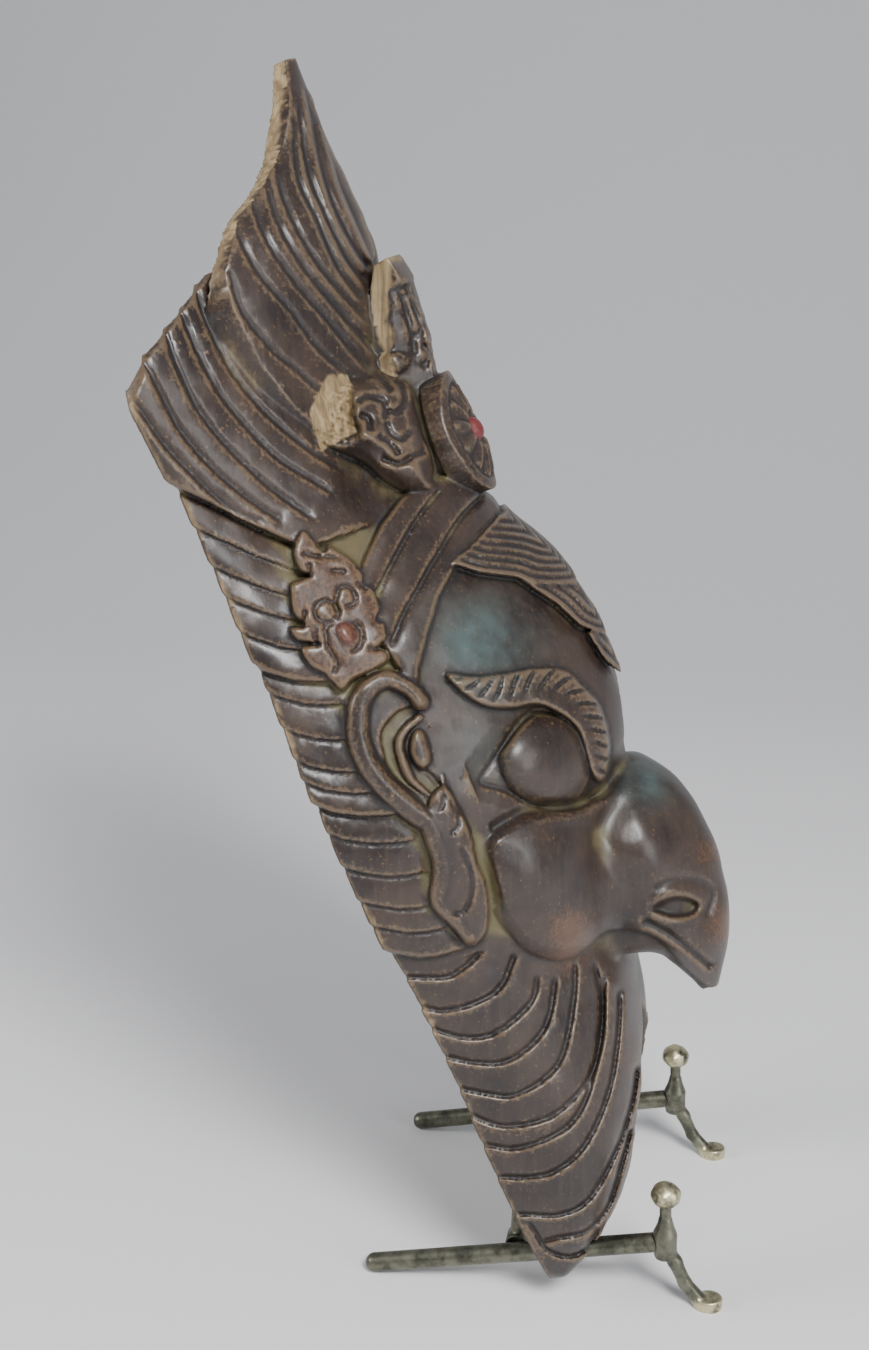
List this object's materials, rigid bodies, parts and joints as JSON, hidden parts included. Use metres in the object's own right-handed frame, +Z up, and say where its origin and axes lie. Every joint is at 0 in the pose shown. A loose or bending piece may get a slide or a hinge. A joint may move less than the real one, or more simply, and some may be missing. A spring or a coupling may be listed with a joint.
{
  "type": "tibetan cham mask",
  "caption": "Carved wooden dance mask of a hook-beaked bird deity with feather ruff, crown and plume, leaning back on a small two-sided metal easel stand.",
  "frame": {"origin": "on the floor, under the middle of the whole object's box", "axes": "+Z up, the face looks along -Y, the mask's middle plane is X = 0"},
  "size_m": [0.2636, 0.2306, 0.5228],
  "materials": {
    "carved_wood": "dark waxed patina with worn brown edges and ochre dust in the cuts",
    "stand_metal": "blackened brass, worn bright on the finials and feet"
  },
  "bodies": {
    "root": {"mask": "carved_wood", "rail_left": "stand_metal", "rail_right": "stand_metal", "casting_left": "stand_metal", "casting_right": "stand_metal", "backrest": "stand_metal"}
  },
  "joints": []
}
